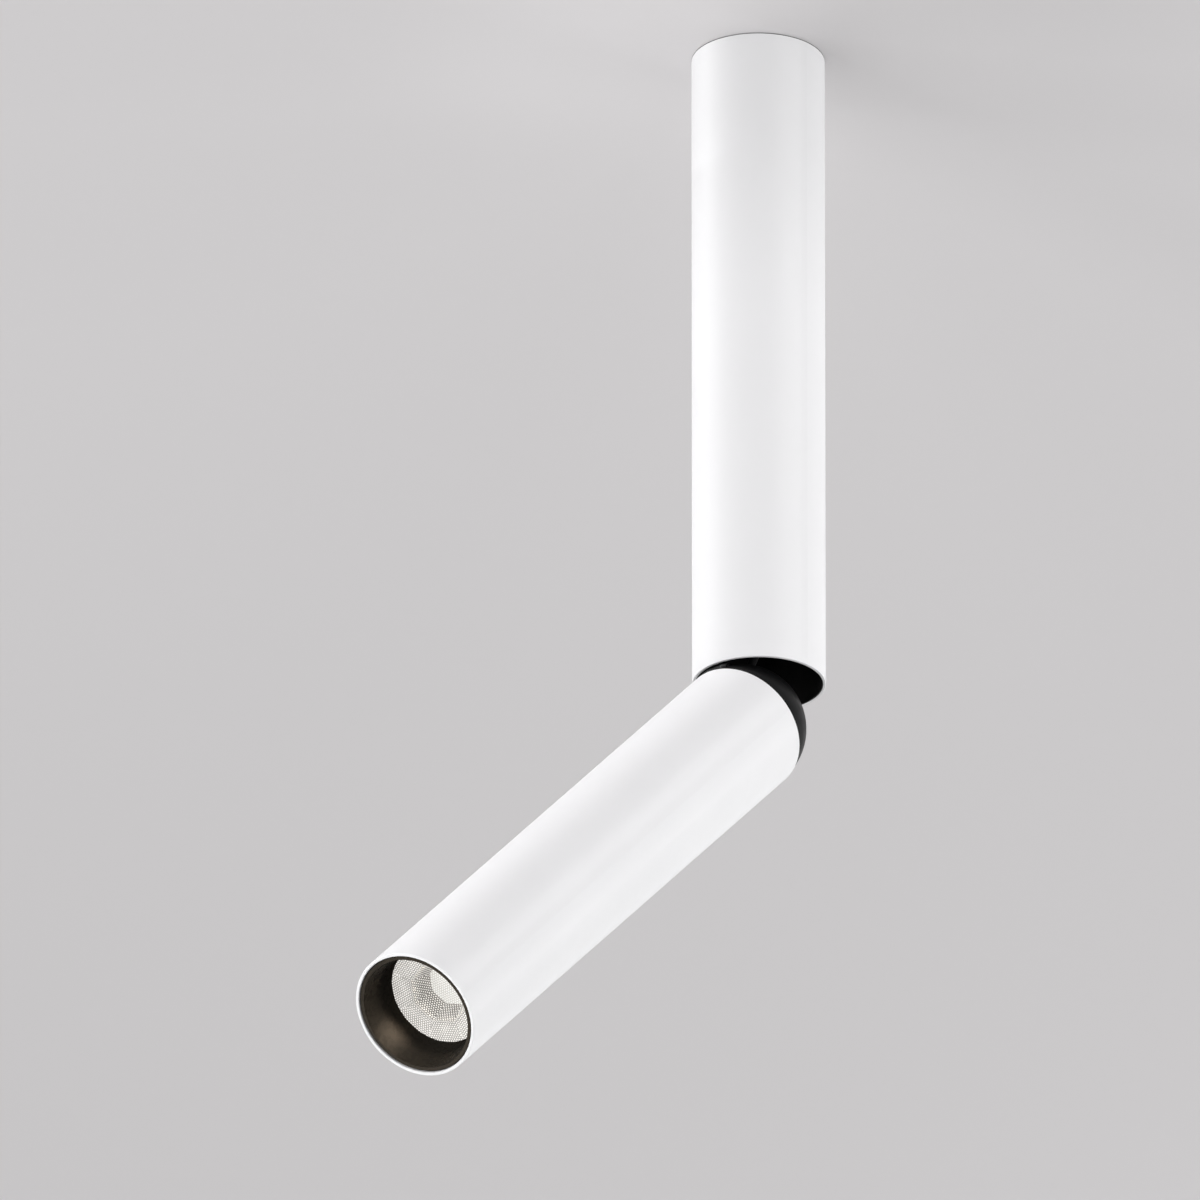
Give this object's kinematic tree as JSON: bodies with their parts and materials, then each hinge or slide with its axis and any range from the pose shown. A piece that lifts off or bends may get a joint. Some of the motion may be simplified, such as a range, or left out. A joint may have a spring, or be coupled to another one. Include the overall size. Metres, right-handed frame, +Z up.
{
  "type": "surface mounted ceiling spotlight",
  "caption": "Tube-shaped ceiling spotlight: a fixed upper tube under the ceiling and an equal lower tube with a recessed lens, which leans and turns on a hinge under a black dome.",
  "frame": {"origin": "centre of the ceiling plate's upper face, where it lies on the ceiling", "axes": "+Z up into the ceiling, along the upper tube's axis; at rest the lamp head leans towards -Y; X is along the hinge pin"},
  "size_m": [0.06, 0.275, 0.5692],
  "materials": {
    "white_powder_coat": "fine matt powder coat",
    "black_powder_coat": "satin powder coat",
    "black_anodised": "matt black anodised, turned",
    "zinc_plated_steel": "zinc plated sheet",
    "machined_aluminium": "turned and extruded",
    "bright_steel": "turned steel",
    "screw_steel": "zinc plated screws",
    "black_screw_steel": "blackened steel",
    "white_screw_steel": "white set screws",
    "brass": "bright brass",
    "white_plastic": "moulded",
    "black_plastic": "moulded",
    "light_source_plastic": "moulded",
    "nylon": "natural nylon",
    "rubber": "soft black",
    "lens_seal": "grey silicone",
    "thermal_pad": "soft filled silicone",
    "black_sheath": "smooth sheath",
    "core_insulation": "coloured cores",
    "earth_insulation": "green and yellow core",
    "circuit_board": "solder resist",
    "board_components": "wound and moulded parts",
    "led_board": "white board",
    "led_phosphor": "phosphor gel",
    "lens_acrylic": "clear acrylic with fine lens dots"
  },
  "bodies": {
    "ceiling_body": {"ceiling_plate": "zinc_plated_steel", "cable_grommet": "rubber", "upper_tube": "white_powder_coat", "upper_tube_screws": "white_screw_steel", "driver_bracket": "zinc_plated_steel", "bracket_screws": "screw_steel", "cord_clamp": "black_plastic", "cord_clamp_screws": "screw_steel", "terminal_block": "white_plastic", "terminal_screws": "screw_steel", "terminal_block_screw": "screw_steel", "earth_screw": "brass", "earth_lead": "earth_insulation", "mains_leads": "core_insulation", "driver_case": "white_plastic", "driver_cover": "white_plastic", "driver_board": "circuit_board", "driver_components": "board_components", "driver_screws": "screw_steel", "output_lead": "black_sheath", "connector_plug": "white_plastic", "connector_socket": "white_plastic", "socket_lead": "black_sheath", "swivel_flange": "machined_aluminium", "stop_pin": "bright_steel"},
    "swivel": {"swivel_disc": "black_powder_coat", "friction_washer": "nylon", "swivel_shaft": "black_screw_steel", "slide_washer": "nylon", "stop_washer": "bright_steel", "disc_spring": "bright_steel", "swivel_nut": "bright_steel", "hinge_arm": "black_powder_coat", "arm_screws": "black_screw_steel", "joint_lead": "black_sheath"},
    "lamp_head": {"joint_dome": "black_powder_coat", "hinge_pin": "black_screw_steel", "hinge_washers": "black_plastic", "dome_grommet": "rubber", "head_tube": "white_powder_coat", "head_tube_screws": "white_screw_steel", "head_lead": "black_sheath", "led_leads": "core_insulation", "heat_sink": "machined_aluminium", "thermal_pad": "thermal_pad", "led_board": "led_board", "led_emitter": "led_phosphor", "led_holder": "light_source_plastic", "holder_screws": "screw_steel", "collimator_lens": "lens_acrylic", "lens_gasket": "lens_seal", "lens_holder": "black_plastic", "baffle": "black_anodised", "baffle_o_ring": "rubber"}
  },
  "joints": [
    {"name": "turn", "type": "hinge", "parent": "ceiling_body", "child": "swivel", "pos_m": [0, 0, -0.284], "axis": [0, 0, 1], "range_deg": [-170, 170]},
    {"name": "lean", "type": "hinge", "parent": "swivel", "child": "lamp_head", "pos_m": [0, -0.027, -0.3131], "axis": [-1, 0, 0], "range_deg": [-45, 45], "deforming": ["joint_lead"]}
  ]
}
